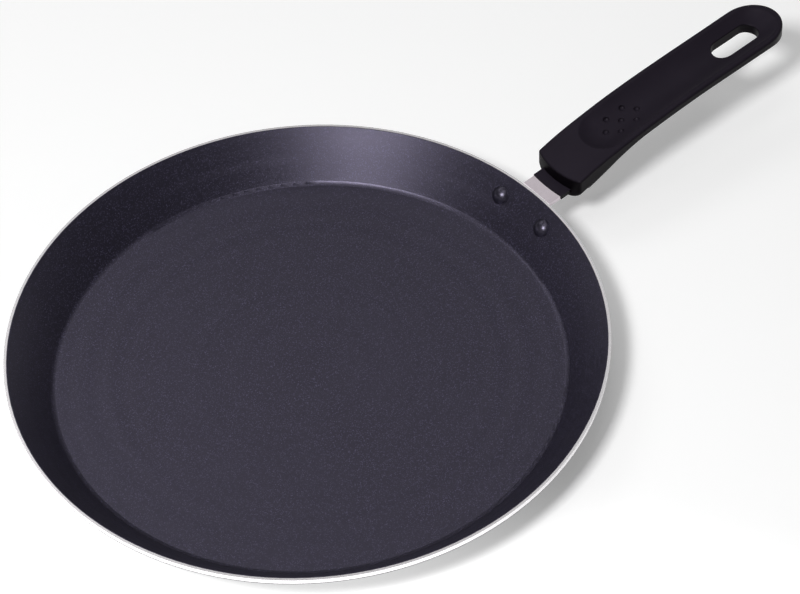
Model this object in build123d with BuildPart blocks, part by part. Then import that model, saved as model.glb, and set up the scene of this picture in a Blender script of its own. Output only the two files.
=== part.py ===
"""Crepe pan: a shallow flared aluminium pan with a moulded grip on a riveted steel strap."""

import os
from math import asin, cos, degrees, radians, sin, tan

from build123d import *

os.makedirs("parts", exist_ok=True)

# Driving dimensions, in millimetres and degrees
# The pan stands on Z = 0, its axis is Z, and the grip points along +X.

# Pan
rim_radius = 140.0
rim_land = 1.2
inner_depth = 21.3
wall_angle = 49.5
wall_thickness = 2.4
base_thickness = 3.0
floor_fillet = 3.0
corner_radius = 4.0
coating_thickness = 0.3
enamel_thickness = 0.25
enamel_foot = 1.0

# Turned grooves in the underside of the base
groove_count = 11
groove_pitch = 9.0
groove_width = 1.2
groove_depth = 0.35
hub_radius = 9.0

# Rivets
rivet_spacing = 29.5
rivet_height = 13.7
rivet_diameter = 5.0
rivet_head_diameter = 8.8
rivet_head_height = 2.5
rivet_head_edge = 0.5
rivet_tail_diameter = 8.0
rivet_tail_height = 1.8
rivet_tail_edge = 0.6
rivet_fit = 0.03

# Steel bracket: a flange that follows the wall, and a strap that runs into the grip
bracket_thickness = 2.0
bracket_gap = 0.05
ear_radius = 7.0
ear_fillet = 3.0
strap_width = 19.0
strap_drop = 2.1
strap_angle = 3.5
strap_length = 36.5
strap_bend = 2.0
strap_end_radius = 3.0
screw_place = 27.5

# Grip
neck_length = 13.4
grip_cover = 7.5
grip_length = 146.4
grip_width = 30.3
grip_rise = 13.9
grip_depth = 17.0
front_bow = 2.6
tail_length = 18.0
top_edge_radius = 1.2
lower_edge_radius = 1.6
front_corner_radius = 1.6
side_stock = 0.4

# Relief under the front of the grip
relief_length = 8.3
relief_depth = 13.0
relief_ramp = 2.0
relief_corner = 9.0

# Thin lip of the grip, forward over the strap's top and sides
lip_reach = 5.6
lip_wall = 0.25
lip_bow = 0.6

# Thumb scoop, its seven dimples, and the hanging slot
scoop_start = 19.2
scoop_end = 3.45
rail_width = 2.9
scoop_depth = 3.5
scoop_edge_radius = 1.5
dimple_place = 42.9
dimple_pitch = 10.2
dimple_row = 5.1
dimple_diameter = 3.2
dimple_depth = 1.0
slot_length = 28.0
slot_width = 11.8
slot_place = 27.4
slot_edge_radius = 0.7

# Fastening inside the grip
screw_diameter = 4.9
screw_head_diameter = 9.2
screw_head_height = 2.7
screw_head_edge = 0.6
screw_slot_width = 1.2
screw_slot_depth = 1.2
washer_diameter = 8.8
washer_thickness = 1.1
washer_split = 1.0
insert_diameter = 7.0
insert_length = 6.0
insert_groove = 0.6
screw_fit = 0.05
hole_clearance = 0.25
bore_clearance = 0.6
pocket_clearance = 0.15

# One overrun serves every cut
overrun = 5.0

# A face is upright when its normal rises by less than this share.
upright_share = 0.001

# Shape of the grip: place along it, rise of its top, depth and upright side.
# They are shares of the grip's length, rise, depth and depth.
grip_shares = (
    (-0.02, -0.0986, 0.976, 0.353),
    (0.0768, 0.202, 0.976, 0.353),
    (0.1291, 0.323, 0.941, 0.284),
    (0.2077, 0.458, 0.729, 0.188),
    (0.2862, 0.578, 0.576, 0.147),
    (0.3846, 0.690, 0.553, 0.141),
    (0.5615, 0.818, 0.518, 0.133),
    (0.7486, 0.901, 0.529, 0.141),
    (0.916, 0.9755, 0.535, 0.153),
    (1.0, 1.0, 0.529, 0.153),
)
grip_section_count = 24
# Width of the belly's rounded corner, as a share of half the grip's width
belly_corner_share = 0.924

# Plan of the grip's side: place along it and half width, as shares of its length and half width
front_width_share = 0.995
side_shares = ((0.3, 1.0), (0.57, 0.993))

# Handle of a cubic curve that stands for a quarter of an ellipse
quarter_share = 0.5523


# Places worked out from the dimensions

slope = radians(wall_angle)
tilt = radians(strap_angle)
rim_height = base_thickness + inner_depth
rim_inner_radius = rim_radius - rim_land
metal_floor = base_thickness - coating_thickness
bracket_face = wall_thickness + enamel_thickness + bracket_gap
grip_front = rim_radius + neck_length


def wall_radius(depth, height):
    """Radius at a height of the wall face that lies a depth outside the bare inner face."""
    return rim_inner_radius - (rim_height - height) / tan(slope) + depth / sin(slope)


strap_root = Vector(wall_radius(bracket_face, rim_height - strap_drop), 0, rim_height - strap_drop)
strap_plane = Plane(origin=strap_root, x_dir=(cos(tilt), 0, sin(tilt)), z_dir=(-sin(tilt), 0, cos(tilt)))
grip_top = strap_root.Z + (grip_front - strap_root.X) * tan(tilt) + grip_cover

rivet_level = base_thickness + rivet_height
rivet_radius = wall_radius(-coating_thickness, rivet_level)
rivet_angle = degrees(asin(rivet_spacing / 2 / rivet_radius))
# A flat head on the hollow side of the cone touches it at two sides of its edge.
rivet_seat = (rivet_head_diameter / 2) ** 2 * sin(slope) / 2 / rivet_radius
rivet_grip = coating_thickness + bracket_face + bracket_thickness
# The formed end sits on the round side of the cone, so it starts on its crest.
rivet_plane_of = {}
for side_name, side in (("left", 1), ("right", -1)):
    turn = radians(side * rivet_angle)
    rivet_plane_of[side_name] = Plane(
        origin=(rivet_radius * cos(turn), rivet_radius * sin(turn), rivet_level),
        x_dir=(-sin(turn), cos(turn), 0),
        z_dir=(-sin(slope) * cos(turn), -sin(slope) * sin(turn), cos(slope)),
    )


def bowl_face(depth, floor_height, corner):
    """Half section of all that lies inside one wall face and above one floor."""
    with BuildSketch() as face:
        with BuildLine():
            Polyline(
                (0, floor_height),
                (wall_radius(depth, floor_height), floor_height),
                (wall_radius(depth, rim_height), rim_height),
                (0, rim_height),
                close=True,
            )
        make_face()
        fillet(face.vertices().group_by(Axis.Y)[0].sort_by(Axis.X)[-1], radius=corner)
    return face.sketch


bare_inside = bowl_face(0, metal_floor, floor_fillet + coating_thickness)
coated_inside = bowl_face(-coating_thickness, base_thickness, floor_fillet)
bare_outside = bowl_face(wall_thickness, 0, corner_radius)
enamel_outside = bowl_face(
    wall_thickness + enamel_thickness, -enamel_thickness, corner_radius + enamel_thickness
)


# Both rivet holes, square to the wall, cut through every layer
with BuildPart() as rivet_holes:
    for plane in rivet_plane_of.values():
        with BuildSketch(plane):
            Circle(rivet_diameter / 2 + rivet_fit)
        extrude(amount=rivet_grip + overrun, both=True)


# Pan body: a spun and machined bowl with a bare rim, and a turned base

with BuildPart() as pan_body:
    with BuildSketch(Plane.XZ):
        add(bare_outside)
        add(bare_inside, mode=Mode.SUBTRACT)
        with Locations((rim_radius / 2, rim_height / 2)):
            Rectangle(rim_radius, rim_height, mode=Mode.INTERSECT)
    revolve(axis=Axis.Z)
    with BuildSketch(Plane.XZ):
        for ring in range(groove_count):
            with Locations((hub_radius + (ring + 0.5) * groove_pitch, 0)):
                Rectangle(groove_width, 2 * groove_depth)
    revolve(axis=Axis.Z, mode=Mode.SUBTRACT)
    add(rivet_holes.part, mode=Mode.SUBTRACT)

# Non-stick coating: one skin over the floor and the inner wall, up to the bare rim

with BuildPart() as nonstick_coating:
    with BuildSketch(Plane.XZ):
        add(bare_inside)
        add(coated_inside, mode=Mode.SUBTRACT)
    revolve(axis=Axis.Z)
    add(rivet_holes.part, mode=Mode.SUBTRACT)

# Enamel: one skin on the outer wall, from the machined rim round the corner to the base

with BuildPart() as outer_enamel:
    with BuildSketch(Plane.XZ):
        add(enamel_outside)
        add(bare_outside, mode=Mode.SUBTRACT)
        with Locations((rim_radius / 2, (rim_height + enamel_foot) / 2)):
            Rectangle(rim_radius, rim_height - enamel_foot, mode=Mode.INTERSECT)
    revolve(axis=Axis.Z)
    add(rivet_holes.part, mode=Mode.SUBTRACT)


# Bracket: the conical flange is cut to its outline, then the strap is added


def strap_section(length, thickness):
    """Side view of the bent strip: up the wall, round the bend and out along the strap."""
    wall_way = Vector(cos(slope), sin(slope))
    strap_way = Vector(cos(tilt), sin(tilt))
    wall_side = Vector(sin(slope), -cos(slope))
    strap_side = Vector(sin(tilt), -cos(tilt))
    root = Vector(strap_root.X, strap_root.Z)
    inner_root = root + (wall_side + strap_side) * (thickness / (1 + wall_side.dot(strap_side)))
    foot = root - wall_way * (ear_radius + ear_fillet)
    tip = root + strap_way * length
    with BuildSketch() as section:
        with BuildLine():
            Polyline(
                foot, root, tip, tip + strap_side * thickness, inner_root, foot + wall_side * thickness,
                close=True,
            )
        make_face()
        fillet(section.vertices().sort_by_distance(root)[0], radius=strap_bend + thickness)
        fillet(section.vertices().sort_by_distance(inner_root)[0], radius=strap_bend)
    return section.sketch


strap_side_view = strap_section(strap_length, bracket_thickness)
flange_plane = Plane(
    origin=(wall_radius(bracket_face, rivet_level), 0, rivet_level),
    x_dir=(0, 1, 0),
    z_dir=(sin(slope), 0, -cos(slope)),
)
# Square to the wall, the rivets meet the flange this far below its plane's origin.
ear_drop = (coating_thickness + bracket_face) / tan(slope) * cos(slope) ** 2
neck_height = (rim_height - strap_drop - rivet_level) / sin(slope) - strap_bend

with BuildPart() as handle_bracket:
    with BuildSketch(Plane.XZ):
        with BuildLine():
            Polyline(
                (wall_radius(bracket_face, 0), 0),
                (wall_radius(bracket_face + bracket_thickness, 0), 0),
                (wall_radius(bracket_face + bracket_thickness, rim_height), rim_height),
                (wall_radius(bracket_face, rim_height), rim_height),
                close=True,
            )
        make_face()
    revolve(axis=Axis.Z)
    with BuildSketch(flange_plane) as flange_outline:
        with Locations((0, -ear_drop)):
            SlotCenterToCenter(rivet_spacing, 2 * ear_radius)
        with Locations((0, (neck_height - ear_drop) / 2)):
            Rectangle(strap_width, neck_height + ear_drop)
        for side in (1, -1):
            crotch = (side * strap_width / 2, ear_radius - ear_drop, 0)
            fillet(flange_outline.vertices().sort_by_distance(crotch)[0], radius=ear_fillet)
    extrude(amount=overrun, both=True, mode=Mode.INTERSECT)
    with BuildSketch(Plane.XZ):
        add(strap_side_view)
    extrude(amount=strap_width / 2, both=True)
    tongue_corners = handle_bracket.edges().filter_by(
        lambda edge: abs(edge.length - bracket_thickness) < rivet_fit
    ).group_by(Axis.X)[-1]
    fillet(tongue_corners, radius=strap_end_radius)
    with BuildSketch(strap_plane):
        with Locations((screw_place, 0)):
            Circle(screw_diameter / 2 + hole_clearance)
    extrude(amount=bracket_thickness + overrun, both=True, mode=Mode.SUBTRACT)
    add(rivet_holes.part, mode=Mode.SUBTRACT)

# Rivets: a domed head inside the pan, and a formed end behind the flange


def dome_radius(width, height):
    """Radius of the sphere whose cap has a width and a height."""
    return ((width / 2) ** 2 + height ** 2) / 2 / height


def dome_rise(radius, across):
    """Rise of a sphere's bottom at a distance from its lowest point."""
    return radius - (radius ** 2 - across ** 2) ** 0.5


def rivet_section():
    """Half section of a rivet, with its head's seat at the height of the plane."""
    head_cap = rivet_head_height - rivet_head_edge
    tail_cap = rivet_tail_height - rivet_tail_edge
    head_base = rivet_seat
    tail_base = -rivet_grip
    with BuildSketch() as section:
        with BuildLine():
            Line((0, tail_base - rivet_tail_height), (0, head_base + rivet_head_height))
            RadiusArc(
                (0, head_base + rivet_head_height),
                (rivet_head_diameter / 2, head_base + rivet_head_edge),
                dome_radius(rivet_head_diameter, head_cap),
            )
            Polyline(
                (rivet_head_diameter / 2, head_base + rivet_head_edge),
                (rivet_head_diameter / 2, head_base),
                (rivet_diameter / 2, head_base),
                (rivet_diameter / 2, tail_base),
                (rivet_tail_diameter / 2, tail_base),
                (rivet_tail_diameter / 2, tail_base - rivet_tail_edge),
            )
            RadiusArc(
                (rivet_tail_diameter / 2, tail_base - rivet_tail_edge),
                (0, tail_base - rivet_tail_height),
                dome_radius(rivet_tail_diameter, tail_cap),
            )
        make_face()
    return section.sketch


rivet_half = rivet_section()


def build_rivet(plane):
    """One rivet, turned about the axis of its hole."""
    with BuildPart() as rivet:
        with BuildSketch(Plane(origin=plane.origin, x_dir=plane.x_dir, z_dir=-plane.y_dir)):
            add(rivet_half)
        revolve(axis=Axis(plane.origin, plane.z_dir))
    return rivet


rivet_left = build_rivet(rivet_plane_of["left"])
rivet_right = build_rivet(rivet_plane_of["right"])


# Grip


def along(place):
    """X of a place measured from the grip's front."""
    return grip_front + place


def shape_share(place, column):
    """One column of the grip's shape at a place along it, on a smooth curve through the rows."""
    knots = [row[0] for row in grip_shares]
    values = [row[column] for row in grip_shares]
    steps = [(values[i + 1] - values[i]) / (knots[i + 1] - knots[i]) for i in range(len(knots) - 1)]
    slopes = [steps[0]]
    for i in range(1, len(steps)):
        before = knots[i] - knots[i - 1]
        after = knots[i + 1] - knots[i]
        slopes.append((steps[i - 1] * after + steps[i] * before) / (before + after))
    slopes.append(steps[-1])
    place_share = place / grip_length
    row = 0
    while row < len(steps) - 1 and place_share > knots[row + 1]:
        row += 1
    span = knots[row + 1] - knots[row]
    u = (place_share - knots[row]) / span
    start_part = (2 * u ** 3 - 3 * u ** 2 + 1) * values[row] + (u ** 3 - 2 * u ** 2 + u) * span * slopes[row]
    end_part = (3 * u ** 2 - 2 * u ** 3) * values[row + 1] + (u ** 3 - u ** 2) * span * slopes[row + 1]
    return start_part + end_part


def top_height(place):
    """Height of the grip's top at a place along it."""
    return grip_top + grip_rise * shape_share(place, 1)


def grip_section(place, top, depth, side, corner):
    """One upright section of the grip: flat top, upright sides, rounded belly."""
    half = grip_width / 2 + side_stock
    low = top - depth
    side_end = top - side
    flat = half - corner
    drop = (side_end - low) * quarter_share
    reach = corner * quarter_share
    with BuildSketch(Plane.YZ.offset(along(place))) as section:
        with BuildLine():
            Line((-half, top), (half, top))
            Line((half, top), (half, side_end))
            Bezier((half, side_end), (half, side_end - drop), (flat + reach, low), (flat, low))
            Line((flat, low), (-flat, low))
            Bezier((-flat, low), (-flat - reach, low), (-half, side_end - drop), (-half, side_end))
            Line((-half, side_end), (-half, top))
        make_face()
    return section.sketch


grip_places = []
grip_sections = []
for count in range(grip_section_count):
    first_share = grip_shares[0][0]
    place = grip_length * (first_share + (1 - first_share) * count / (grip_section_count - 1))
    grip_places.append(place)
    grip_sections.append(
        grip_section(
            place,
            top_height(place),
            grip_depth * shape_share(place, 2),
            grip_depth * shape_share(place, 3),
            grip_width / 2 * belly_corner_share,
        )
    )

# The relief keeps a core under the front of the top, then ramps down to the full belly.
relief_end = relief_length + relief_ramp
belly_side = grip_depth * shape_share(relief_end, 3)
core_sections = []
for place, depth, corner in (
    (-overrun, relief_depth, relief_corner),
    (relief_length, relief_depth, relief_corner),
    (relief_end, grip_depth + side_stock, grip_width / 2 * belly_corner_share),
):
    core_sections.append(
        grip_section(
            place,
            top_height(place) + overrun,
            depth + overrun,
            belly_side + overrun,
            corner,
        )
    )

with BuildPart() as relief_tool:
    with BuildSketch(Plane.YZ.offset(along(-overrun))):
        with Locations((0, grip_top)):
            Rectangle(grip_width + 2 * overrun, 2 * (grip_depth + overrun))
    extrude(amount=overrun + relief_end)
    loft(core_sections, ruled=True, mode=Mode.SUBTRACT)

# The scoop is the room that a ball leaves when it rolls along the top.
# The hanging slot is cut with it, from its floor down through the belly.
scoop_half_width = grip_width / 2 - rail_width
ball_radius = dome_radius(2 * scoop_half_width, scoop_depth)
roll_start = scoop_start + scoop_half_width
roll_end = grip_length - scoop_end - scoop_half_width
scoop_points = [(along(roll_start), 0, top_height(roll_start))]
for place in grip_places:
    if roll_start < place < roll_end:
        scoop_points.append((along(place), 0, top_height(place)))
scoop_points.append((along(roll_end), 0, top_height(roll_end)))

with BuildPart() as scoop_tool:
    with BuildLine() as scoop_path:
        scoop_line = Spline(*scoop_points)
    start_plane = Plane(origin=scoop_line @ 0, x_dir=(0, 1, 0), z_dir=scoop_line % 0)
    end_plane = Plane(origin=scoop_line @ 1, x_dir=(0, 1, 0), z_dir=scoop_line % 1)
    with BuildSketch(start_plane):
        with Locations((0, ball_radius - scoop_depth)):
            Circle(ball_radius)
        with Locations((0, overrun / 2 - scoop_depth)):
            Rectangle(2 * ball_radius, 2 * scoop_depth + overrun, mode=Mode.INTERSECT)
    sweep(path=scoop_line)
    for plane in (start_plane, end_plane):
        with Locations(plane.origin + plane.y_dir * (ball_radius - scoop_depth)):
            Sphere(ball_radius)
    with BuildSketch():
        with Locations((along(grip_length - slot_place), 0)):
            SlotOverall(slot_length, slot_width)
    extrude(amount=grip_top + grip_rise)


def upright_faces(builder):
    """The upright faces of what is being built."""
    return builder.faces().filter_by(lambda face: abs(face.normal_at().Z) < upright_share)


def wall_edges(wall, at_top):
    """Edges along the top of an upright face, or else along its foot."""
    chosen = []
    for edge in wall.edges().filter_by(Axis.Z, reverse=True):
        middle = edge @ 0.5
        near_top = abs(middle.Z - top_height(middle.X - grip_front)) < top_edge_radius
        if near_top == at_top:
            chosen.append(edge)
    return chosen


# The dimples are sunk in the floor of the scoop: a row of three between two rows of two.
dimple_radius = dome_radius(dimple_diameter, dimple_depth)
dimple_spots = [(dimple_pitch * step, 0) for step in (-1, 0, 1)]
dimple_spots += [(dimple_pitch / 2 * step, dimple_row * side) for step in (-1, 1) for side in (-1, 1)]
dimple_centres = []
for ahead, across in dimple_spots:
    place = dimple_place + ahead
    floor = top_height(place) - scoop_depth + dome_rise(ball_radius, across)
    dimple_centres.append((along(place), across, floor + dimple_radius - dimple_depth))

# Levels on the strap's own plane, for the fastening inside the grip
strap_under = -bracket_thickness
washer_under = strap_under - washer_thickness
grip_from_root = grip_front - strap_root.X
bore_radius = screw_head_diameter / 2 + bore_clearance
pocket_end = strap_length + hole_clearance
lip_level = pocket_clearance + lip_wall
lip_start = grip_from_root - lip_reach


def insert_section(radius):
    """Half section of the insert's outside, with a groove round its middle."""
    groove_start = (insert_length - insert_groove * 2) / 2
    groove_floor = radius - insert_groove
    with BuildSketch() as section:
        with BuildLine():
            Polyline(
                (0, 0),
                (radius, 0),
                (radius, groove_start),
                (groove_floor, groove_start),
                (groove_floor, insert_length - groove_start),
                (radius, insert_length - groove_start),
                (radius, insert_length),
                (0, insert_length),
                close=True,
            )
        make_face()
    return section.sketch


insert_outside = insert_section(insert_diameter / 2)
screw_seat = strap_plane.origin + strap_plane.x_dir * screw_place
screw_plane = Plane(origin=screw_seat, x_dir=strap_plane.x_dir, z_dir=strap_plane.z_dir)
screw_section_plane = Plane(origin=screw_seat, x_dir=screw_plane.x_dir, z_dir=-screw_plane.y_dir)
screw_axis = Axis(screw_seat, screw_plane.z_dir)

with BuildPart() as handle_grip:
    loft(grip_sections)
    with BuildSketch():
        with BuildLine():
            tail_start = Vector(along(grip_length - tail_length), grip_width / 2)
            front_corner = Vector(along(front_bow), grip_width / 2 * front_width_share)
            side_points = [front_corner]
            for place_share, width_share in side_shares:
                side_points.append(Vector(along(grip_length * place_share), grip_width / 2 * width_share))
            side_points.append(tail_start)
            start_way = side_points[1] - side_points[0]
            side_line = Spline(*side_points, tangents=[start_way, (1, 0)])
            mirror(side_line, about=Plane.XZ)
            ThreePointArc(front_corner, (grip_front, 0), (front_corner.X, -front_corner.Y))
            EllipticalCenterArc(
                (tail_start.X, 0), tail_length, grip_width / 2, start_angle=-90, arc_size=180
            )
        make_face()
    extrude(amount=grip_top + grip_rise + overrun, mode=Mode.INTERSECT)
    add(relief_tool.part, mode=Mode.SUBTRACT)
    lower_edges = []
    for wall in upright_faces(handle_grip):
        if wall.center().X > along(relief_end):
            lower_edges += wall_edges(wall, False)
    fillet(lower_edges, radius=lower_edge_radius)
    fillet(handle_grip.edges().filter_by(Axis.Z).group_by(Axis.X)[0], radius=front_corner_radius)
    upper_edges = []
    for wall in upright_faces(handle_grip):
        upper_edges += wall_edges(wall, True)
    fillet(upper_edges, radius=top_edge_radius)
    add(scoop_tool.part, mode=Mode.SUBTRACT)
    rim_edges = []
    for edge in handle_grip.edges(Select.LAST):
        middle = edge.center()
        if abs(middle.Z - top_height(middle.X - grip_front)) < top_edge_radius:
            rim_edges.append(edge)
    fillet(rim_edges, radius=scoop_edge_radius)
    slot_edges = []
    slot_middle = along(grip_length - slot_place)
    for wall in upright_faces(handle_grip):
        ahead = abs(wall.center().X - slot_middle)
        if ahead < slot_length / 2 + slot_edge_radius and abs(wall.center().Y) < slot_width:
            slot_edges += wall.edges().filter_by(Axis.Z, reverse=True)
    fillet(slot_edges, radius=slot_edge_radius)
    with Locations(*dimple_centres):
        Sphere(dimple_radius, mode=Mode.SUBTRACT)
    with BuildSketch(strap_plane.offset(lip_level)):
        with BuildLine():
            lip_corner = Vector(lip_start + lip_bow, strap_width / 2 + lip_level)
            lip_side = Line(lip_corner, (pocket_end, lip_corner.Y))
            mirror(lip_side, about=Plane.XZ)
            Line((pocket_end, lip_corner.Y), (pocket_end, -lip_corner.Y))
            ThreePointArc(lip_corner, (lip_start, 0), (lip_corner.X, -lip_corner.Y))
        make_face()
    extrude(amount=-(bracket_thickness + lip_level))
    # Pocket for the strap, room for the insert, and the screw's way in from below
    with BuildSketch(strap_plane.offset(pocket_clearance)):
        with Locations(((lip_start - overrun + pocket_end) / 2, 0)):
            Rectangle(pocket_end - lip_start + overrun, strap_width + 2 * pocket_clearance)
    extrude(amount=-(bracket_thickness + 2 * pocket_clearance), mode=Mode.SUBTRACT)
    with BuildSketch(screw_section_plane):
        add(insert_outside)
    revolve(axis=screw_axis, mode=Mode.SUBTRACT)
    with BuildSketch(screw_plane):
        Circle(bore_radius)
    extrude(amount=-grip_depth, mode=Mode.SUBTRACT)

# Threaded insert: moulded into the grip, its mouth on the strap

with BuildPart() as threaded_insert:
    with BuildSketch(screw_section_plane):
        add(insert_outside)
    revolve(axis=screw_axis)
    with BuildSketch(screw_plane):
        Circle(screw_diameter / 2 + screw_fit)
    extrude(amount=insert_length, mode=Mode.SUBTRACT)

# Lock washer: a split ring under the strap

with BuildPart() as lock_washer:
    with BuildSketch(screw_plane.offset(strap_under)):
        Circle(washer_diameter / 2)
        Circle(screw_diameter / 2 + hole_clearance, mode=Mode.SUBTRACT)
        with Locations((washer_diameter / 4, 0)):
            Rectangle(washer_diameter / 2, washer_split, mode=Mode.SUBTRACT)
    extrude(amount=-washer_thickness)

# Screw: pan head under the washer, shank up through the strap into the insert

with BuildPart() as bracket_screw:
    with BuildSketch(screw_section_plane):
        with BuildLine():
            head_foot = washer_under - screw_head_height
            Line((0, head_foot), (0, insert_length - screw_fit))
            Polyline(
                (0, insert_length - screw_fit),
                (screw_diameter / 2, insert_length - screw_fit),
                (screw_diameter / 2, washer_under),
                (screw_head_diameter / 2, washer_under),
                (screw_head_diameter / 2, head_foot + screw_head_edge),
            )
            RadiusArc(
                (screw_head_diameter / 2, head_foot + screw_head_edge),
                (0, head_foot),
                dome_radius(screw_head_diameter, screw_head_edge),
            )
        make_face()
    revolve(axis=screw_axis)
    with BuildSketch(screw_plane.offset(head_foot)):
        Rectangle(screw_head_diameter + overrun, screw_slot_width)
    extrude(amount=screw_slot_depth, mode=Mode.SUBTRACT)

for name, piece in (
    ("pan_body", pan_body),
    ("nonstick_coating", nonstick_coating),
    ("outer_enamel", outer_enamel),
    ("handle_bracket", handle_bracket),
    ("rivet_left", rivet_left),
    ("rivet_right", rivet_right),
    ("handle_grip", handle_grip),
    ("threaded_insert", threaded_insert),
    ("lock_washer", lock_washer),
    ("bracket_screw", bracket_screw),
):
    piece.part.label = name
    export_step(piece.part, f"parts/{name}.step")
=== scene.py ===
"""Crepe pan: finishes, floor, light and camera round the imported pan, in metres in the row frame."""

import math

import bmesh
import bpy
from mathutils import Matrix, Vector

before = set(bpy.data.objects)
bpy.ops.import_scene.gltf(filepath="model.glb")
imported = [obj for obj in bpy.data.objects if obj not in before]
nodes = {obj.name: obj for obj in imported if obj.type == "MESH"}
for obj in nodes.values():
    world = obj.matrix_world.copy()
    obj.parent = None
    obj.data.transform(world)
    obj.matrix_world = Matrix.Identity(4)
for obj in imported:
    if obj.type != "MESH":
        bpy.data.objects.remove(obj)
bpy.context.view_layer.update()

mm = 0.001


# Node making


def node_maker(tree):
    """A maker of nodes in one tree, whose inputs take plain values or the outputs of other nodes."""

    def node(kind, inputs=(), **settings):
        made = tree.nodes.new(kind)
        for setting, value in settings.items():
            setattr(made, setting, value)
        for socket, value in dict(inputs).items():
            if isinstance(value, bpy.types.NodeSocket):
                tree.links.new(value, made.inputs[socket])
            else:
                made.inputs[socket].default_value = value
        return made

    return node


def new_finish(name):
    """A material with only its shader and output, and a maker of further nodes in it."""
    finish = bpy.data.materials.new(name)
    finish.use_nodes = True
    tree = finish.node_tree
    return finish, tree, tree.nodes["Principled BSDF"], node_maker(tree)


def object_place(node):
    """Object coordinates of the shaded point."""
    return node("ShaderNodeTexCoord").outputs["Object"]


def noise(node, place, scale, detail):
    """Noise in space, mostly between the two values of noise_range."""
    inputs = {"Vector": place, "Scale": scale, "Detail": detail}
    return node("ShaderNodeTexNoise", inputs).outputs["Fac"]


def line_noise(node, distance, scale, detail):
    """Noise along one distance, so that it makes lines or rings."""
    inputs = {"W": distance, "Scale": scale, "Detail": detail}
    return node("ShaderNodeTexNoise", inputs, noise_dimensions="1D").outputs["Fac"]


def maths(node, operation, first, second):
    """One operation on two values."""
    return node("ShaderNodeMath", {0: first, 1: second}, operation=operation).outputs["Value"]


def blend_colour(node, share, first, second):
    """Colour between two colours by a share."""
    return node("ShaderNodeMix", {0: share, 6: first, 7: second}, data_type="RGBA").outputs[2]


def spread(node, value, reach, onto, curve="LINEAR"):
    """A value carried from one range onto another and kept inside it."""
    inputs = {
        "Value": value,
        "From Min": reach[0],
        "From Max": reach[1],
        "To Min": onto[0],
        "To Max": onto[1],
    }
    return node("ShaderNodeMapRange", inputs, interpolation_type=curve).outputs["Result"]


def bumped(node, tree, shader, height, depth):
    """Sets a height pattern on the shader as a bump of a real depth."""
    bump = node("ShaderNodeBump", {"Height": height, "Distance": depth, "Strength": 1.0})
    tree.links.new(bump.outputs["Normal"], shader.inputs["Normal"])


def axis_distance(node, axes):
    """Distance from the pan's axis."""
    flat_place = node("ShaderNodeCombineXYZ", {"X": axes.outputs["X"], "Y": axes.outputs["Y"]})
    length = node("ShaderNodeVectorMath", {0: flat_place.outputs["Vector"]}, operation="LENGTH")
    return length.outputs["Value"]


# Finishes. Every pattern reads Object coordinates, but the grip's painted light and shade reads which way
# its faces turn.

noise_range = (0.3, 0.7)
two_noise_range = (0.6, 1.4)


def coating_finish():
    """Dark non-stick coating: a bluish gloss, fine grain, sparse metallic flecks and faint rings."""
    grain_scale, cloud_scale, ring_scale, fleck_scale = 1500.0, 34.0, 150.0, 3000.0
    dark, pale = (0.0040, 0.0034, 0.0066, 1), (0.0078, 0.0068, 0.0122, 1)
    fleck_metal = (0.23, 0.21, 0.36, 1)
    brightest_flecks, fleck_shares = (0.84, 1.0), (0.0, 0.34)
    grit_range, roughness = (0.7, 1.3), (0.30, 0.42)
    shine_tint = (0.78, 0.72, 1.0, 1)

    finish, tree, shader, node = new_finish("nonstick coating")
    place = object_place(node)
    axes = node("ShaderNodeSeparateXYZ", {"Vector": place})
    flecks = node("ShaderNodeTexVoronoi", {"Vector": place, "Scale": fleck_scale}, feature="F1")
    grain = noise(node, place, grain_scale, detail=2.0)
    cloud = noise(node, place, cloud_scale, detail=3.0)
    rings = line_noise(node, axis_distance(node, axes), ring_scale, detail=2.0)
    fleck_tone = node("ShaderNodeSeparateColor", {"Color": flecks.outputs["Color"]}).outputs["Red"]
    bright = spread(node, fleck_tone, brightest_flecks, fleck_shares)
    base = blend_colour(node, bright, blend_colour(node, cloud, dark, pale), fleck_metal)
    grit = maths(node, "ADD", grain, rings)
    tree.links.new(base, shader.inputs["Base Color"])
    tree.links.new(bright, shader.inputs["Metallic"])
    tree.links.new(spread(node, grit, grit_range, roughness), shader.inputs["Roughness"])
    shader.inputs["Specular IOR Level"].default_value = 1.0
    shader.inputs["Specular Tint"].default_value = shine_tint
    bumped(node, tree, shader, maths(node, "ADD", grain, flecks.outputs["Distance"]), 0.03 * mm)
    return finish


def bare_metal_finish():
    """Turned aluminium: fine rings about the pan's axis."""
    ring_scale, level_scale = 2600.0, 3200.0
    dark, pale = (0.86, 0.84, 0.86, 1), (0.97, 0.94, 0.96, 1)
    roughness = (0.24, 0.34)

    finish, tree, shader, node = new_finish("turned aluminium")
    axes = node("ShaderNodeSeparateXYZ", {"Vector": object_place(node)})
    rings = line_noise(node, axis_distance(node, axes), ring_scale, detail=1.0)
    levels = line_noise(node, axes.outputs["Z"], level_scale, detail=1.0)
    both = maths(node, "ADD", rings, levels)
    tone = blend_colour(node, spread(node, both, two_noise_range, (0.0, 1.0)), dark, pale)
    tree.links.new(tone, shader.inputs["Base Color"])
    tree.links.new(spread(node, rings, noise_range, roughness), shader.inputs["Roughness"])
    shader.inputs["Metallic"].default_value = 1.0
    bumped(node, tree, shader, both, 0.02 * mm)
    return finish


def enamel_finish():
    """Gloss black enamel of the outside, with the faint ripple of a sprayed coat."""
    ripple_scale, cloud_scale = 420.0, 30.0
    dark, pale = (0.008, 0.008, 0.010, 1), (0.014, 0.014, 0.017, 1)
    roughness = (0.2, 0.28)

    finish, tree, shader, node = new_finish("outer enamel")
    place = object_place(node)
    ripple = noise(node, place, ripple_scale, detail=2.0)
    cloud = noise(node, place, cloud_scale, detail=2.0)
    tree.links.new(blend_colour(node, cloud, dark, pale), shader.inputs["Base Color"])
    tree.links.new(spread(node, cloud, noise_range, roughness), shader.inputs["Roughness"])
    bumped(node, tree, shader, ripple, 0.03 * mm)
    return finish


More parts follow.
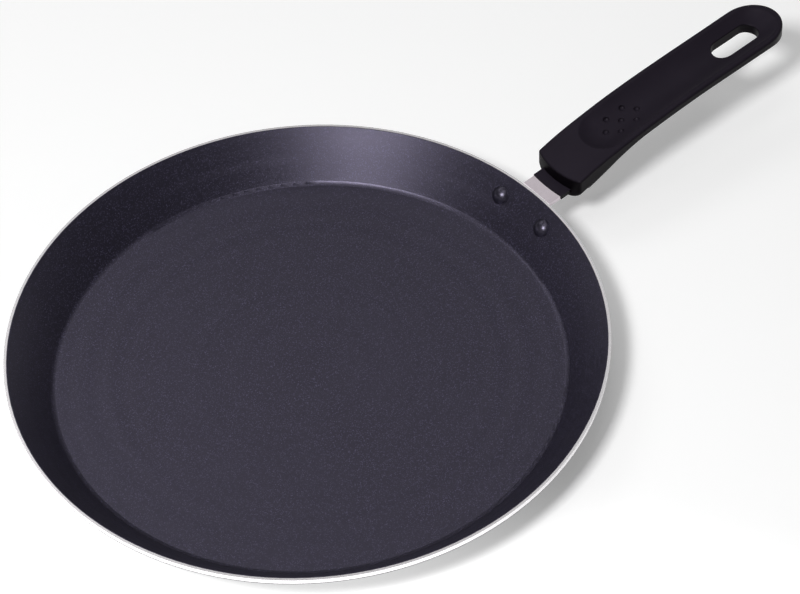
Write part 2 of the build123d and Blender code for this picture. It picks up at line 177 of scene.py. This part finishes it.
def steel_finish():
    """Polished steel strip with fine lines across the strap."""
    line_scales, cloud_scale = (5200.0, 160.0, 160.0), 180.0
    dark, pale = (0.56, 0.50, 0.54, 1), (0.68, 0.62, 0.66, 1)
    roughness = (0.05, 0.09)

    finish, tree, shader, node = new_finish("polished strap steel")
    place = object_place(node)
    stretched = node("ShaderNodeMapping", {"Vector": place, "Scale": line_scales}).outputs["Vector"]
    lines = noise(node, stretched, 1.0, detail=2.0)
    cloud = noise(node, place, cloud_scale, detail=3.0)
    tree.links.new(blend_colour(node, cloud, dark, pale), shader.inputs["Base Color"])
    tree.links.new(spread(node, cloud, noise_range, roughness), shader.inputs["Roughness"])
    shader.inputs["Metallic"].default_value = 1.0
    bumped(node, tree, shader, lines, 0.004 * mm)
    return finish


def rivet_finish():
    """Black lacquer on the rivets."""
    peel_scale = 900.0
    dark, pale = (0.006, 0.0055, 0.009, 1), (0.012, 0.011, 0.017, 1)
    roughness, shine_tint = (0.28, 0.36), (0.80, 0.74, 1.0, 1)

    finish, tree, shader, node = new_finish("rivet lacquer")
    peel = noise(node, object_place(node), peel_scale, detail=2.0)
    tree.links.new(blend_colour(node, peel, dark, pale), shader.inputs["Base Color"])
    tree.links.new(spread(node, peel, noise_range, roughness), shader.inputs["Roughness"])
    shader.inputs["Specular IOR Level"].default_value = 1.0
    shader.inputs["Specular Tint"].default_value = shine_tint
    bumped(node, tree, shader, peel, 0.02 * mm)
    return finish


def grip_finish():
    """Soft-touch moulding: matt, with a fine grain and a faint mottle, painted lighter on what faces up and
    darker on the sides and underside as painted shade.
    """
    grain_scale, mottle_scale = 2400.0, 60.0
    # Near-black: painted shade for the sides and underside of the grip.
    black = (0.0020, 0.0012, 0.0022, 1)
    dark, pale = (0.0136, 0.0108, 0.0164, 1), (0.0190, 0.0152, 0.0230, 1)
    refraction, shine_tint = 1.18, (0.95, 0.88, 1.0, 1)
    upward_range, roughness = (0.1, 0.9), (0.40, 0.46)

    finish, tree, shader, node = new_finish("soft-touch moulding")
    place = object_place(node)
    grain = noise(node, place, grain_scale, detail=2.0)
    mottle = noise(node, place, mottle_scale, detail=3.0)
    # Painted light and shade: faces turned up take the mottled colour, and faces turned aside or down fade
    # to the near-black painted shade.
    facing = node("ShaderNodeSeparateXYZ", {"Vector": node("ShaderNodeNewGeometry").outputs["Normal"]})
    painted_light_share = spread(node, facing.outputs["Z"], upward_range, (0.0, 1.0))
    base = blend_colour(node, painted_light_share, black, blend_colour(node, mottle, dark, pale))
    tree.links.new(base, shader.inputs["Base Color"])
    tree.links.new(spread(node, mottle, noise_range, roughness), shader.inputs["Roughness"])
    shader.inputs["IOR"].default_value = refraction
    shader.inputs["Specular Tint"].default_value = shine_tint
    bumped(node, tree, shader, grain, 0.03 * mm)
    return finish


def brass_finish():
    """Turned brass of the insert."""
    cloud_scale = 600.0
    dark, pale = (0.60, 0.44, 0.20, 1), (0.74, 0.57, 0.29, 1)
    roughness = (0.26, 0.38)

    finish, tree, shader, node = new_finish("insert brass")
    cloud = noise(node, object_place(node), cloud_scale, detail=3.0)
    tree.links.new(blend_colour(node, cloud, dark, pale), shader.inputs["Base Color"])
    tree.links.new(spread(node, cloud, noise_range, roughness), shader.inputs["Roughness"])
    shader.inputs["Metallic"].default_value = 1.0
    return finish


def zinc_finish():
    """Zinc plate of the screw and the washer."""
    cloud_scale = 500.0
    dark, pale = (0.52, 0.53, 0.55, 1), (0.66, 0.66, 0.67, 1)
    roughness = (0.28, 0.42)

    finish, tree, shader, node = new_finish("zinc plate")
    cloud = noise(node, object_place(node), cloud_scale, detail=3.0)
    tree.links.new(blend_colour(node, cloud, dark, pale), shader.inputs["Base Color"])
    tree.links.new(spread(node, cloud, noise_range, roughness), shader.inputs["Roughness"])
    shader.inputs["Metallic"].default_value = 1.0
    bumped(node, tree, shader, cloud, 0.02 * mm)
    return finish


zinc = zinc_finish()
lacquer = rivet_finish()
finish_of = {
    "pan_body": bare_metal_finish(),
    "nonstick_coating": coating_finish(),
    "outer_enamel": enamel_finish(),
    "handle_bracket": steel_finish(),
    "rivet_left": lacquer,
    "rivet_right": lacquer,
    "handle_grip": grip_finish(),
    "threaded_insert": brass_finish(),
    "lock_washer": zinc,
    "bracket_screw": zinc,
}
for name, finish in finish_of.items():
    piece = nodes[name]
    piece.data.materials.clear()
    piece.data.materials.append(finish)


# Camera, matched to the photograph: it looks at a point on the floor from a distance

camera_aim = Vector((0.06152, 0.00817, 0))
camera_distance = 1.43043
camera_azimuth = math.radians(-127.3573)
camera_elevation = math.radians(47.5063)
camera_roll = math.radians(-3.3431)

up = Vector((0, 0, 1))
away = Vector((-math.cos(camera_azimuth), -math.sin(camera_azimuth), 0))
right = Vector((away.y, -away.x, 0))
camera_back = up * math.sin(camera_elevation) - away * math.cos(camera_elevation)
upright = camera_back.cross(right)
camera_right = right * math.cos(camera_roll) + upright * math.sin(camera_roll)
camera_up = camera_back.cross(camera_right)

camera_data = bpy.data.cameras.new("camera")
camera_data.sensor_width = 36.0
camera_data.lens = 135.0
camera_data.clip_end = 20.0
camera = bpy.data.objects.new("camera", camera_data)
turn = Matrix((camera_right, camera_up, camera_back)).transposed().to_4x4()
camera.matrix_world = Matrix.Translation(camera_aim + camera_back * camera_distance) @ turn
bpy.context.scene.collection.objects.link(camera)
bpy.context.scene.camera = camera


# Floor: white paper that shines a little to the camera and in mirrors, and more towards the near left as
# painted light that lifts the pan's shadow there

floor_reach = 8.0
floor_drop = 0.02 * mm
paper_white = (0.82, 0.82, 0.82, 1)
near_left = (-0.87, -0.5, 0)
glow_start_end = (0.01, 0.15)
glow_least_most = (0.27, 0.75)

floor_mesh = bmesh.new()
bmesh.ops.create_grid(floor_mesh, x_segments=1, y_segments=1, size=floor_reach)
bmesh.ops.translate(floor_mesh, verts=floor_mesh.verts, vec=(0, 0, -floor_drop))
floor_data = bpy.data.meshes.new("floor")
floor_mesh.to_mesh(floor_data)
floor_mesh.free()
floor = bpy.data.objects.new("floor", floor_data)
bpy.context.scene.collection.objects.link(floor)

paper, paper_tree, paper_shader, paper_node = new_finish("white paper")
paper_shader.inputs["Base Color"].default_value = paper_white
paper_shader.inputs["Roughness"].default_value = 1.0
paper_shader.inputs["Specular IOR Level"].default_value = 0.0
paper_shader.inputs["Emission Color"].default_value = (1, 1, 1, 1)
path = paper_node("ShaderNodeLightPath").outputs
mirrored = maths(paper_node, "MAXIMUM", path["Is Glossy Ray"], path["Is Transmission Ray"])
seen = maths(paper_node, "MAXIMUM", path["Is Camera Ray"], mirrored)
# Painted light: the paper's glow rises towards the near left, washing out the pan's shadow on that side.
nearness = paper_node(
    "ShaderNodeVectorMath", {0: object_place(paper_node), 1: near_left}, operation="DOT_PRODUCT"
)
lift_and_painted_light = spread(paper_node, nearness.outputs["Value"], glow_start_end, glow_least_most, "SMOOTHSTEP")
paper_tree.links.new(maths(paper_node, "MULTIPLY", seen, lift_and_painted_light), paper_shader.inputs["Emission Strength"])

# From below, the floor is clear, so that the base can be seen.
below = paper_node("ShaderNodeNewGeometry").outputs["Backfacing"]
clear = paper_node("ShaderNodeBsdfTransparent").outputs["BSDF"]
cover = paper_node("ShaderNodeMixShader", {0: below, 1: paper_shader.outputs["BSDF"], 2: clear})
paper_tree.links.new(cover.outputs["Shader"], paper_tree.nodes["Material Output"].inputs["Surface"])
floor_data.materials.append(paper)


# Light, set by the directions in which the camera sees the floor

light_aim = Vector((0.03, 0, 0.02))


def softbox(name, rise, beyond, aside, width, depth, watts):
    """A softbox turned towards the pan, from above it, beyond it and to its right as the camera sees it."""
    lamp_data = bpy.data.lights.new(name, "AREA")
    lamp_data.shape = "RECTANGLE"
    lamp_data.size = width
    lamp_data.size_y = depth
    lamp_data.energy = watts
    lamp = bpy.data.objects.new(name, lamp_data)
    offset = up * rise + away * beyond + right * aside
    lamp.location = light_aim + offset
    lamp.rotation_mode = "QUATERNION"
    lamp.rotation_quaternion = (-offset).to_track_quat("-Z", "Y")
    lamp.visible_camera = False
    bpy.context.scene.collection.objects.link(lamp)


softbox("key box", rise=1.38, beyond=-0.84, aside=-0.52, width=0.36, depth=0.36, watts=22)
softbox("top box", rise=1.7, beyond=0, aside=0, width=0.9, depth=0.9, watts=3)
softbox("back box", rise=1.3, beyond=1.1, aside=0, width=1.2, depth=0.6, watts=1.5)
softbox("back left box", rise=1.3, beyond=0.75, aside=-0.8, width=0.8, depth=0.6, watts=2)


# World: white to the camera, and in mirrors up to just above the horizon, with a dim ceiling

ceiling = 0.1
horizon_fade = (0.05, 0.2)

world = bpy.data.worlds.new("studio")
world.use_nodes = True
bpy.context.scene.world = world
sky = world.node_tree
sky_node = node_maker(sky)
sky_path = sky_node("ShaderNodeLightPath").outputs
sky_way = sky_node("ShaderNodeTexCoord").outputs["Generated"]
sky_height = sky_node("ShaderNodeSeparateXYZ", {"Vector": sky_way}).outputs["Z"]
backdrop = spread(sky_node, sky_height, horizon_fade, (1.0, 0.0))
sky_mirrored = maths(sky_node, "MAXIMUM", sky_path["Is Glossy Ray"], sky_path["Is Transmission Ray"])
sky_low = maths(sky_node, "MULTIPLY", sky_mirrored, backdrop)
sky_seen = maths(sky_node, "MAXIMUM", sky_path["Is Camera Ray"], sky_low)
sky_shade = sky.nodes["Background"]
sky_shade.inputs["Color"].default_value = (1, 1, 1, 1)
sky.links.new(maths(sky_node, "MAXIMUM", sky_seen, ceiling), sky_shade.inputs["Strength"])

bpy.context.scene.view_settings.view_transform = "Standard"
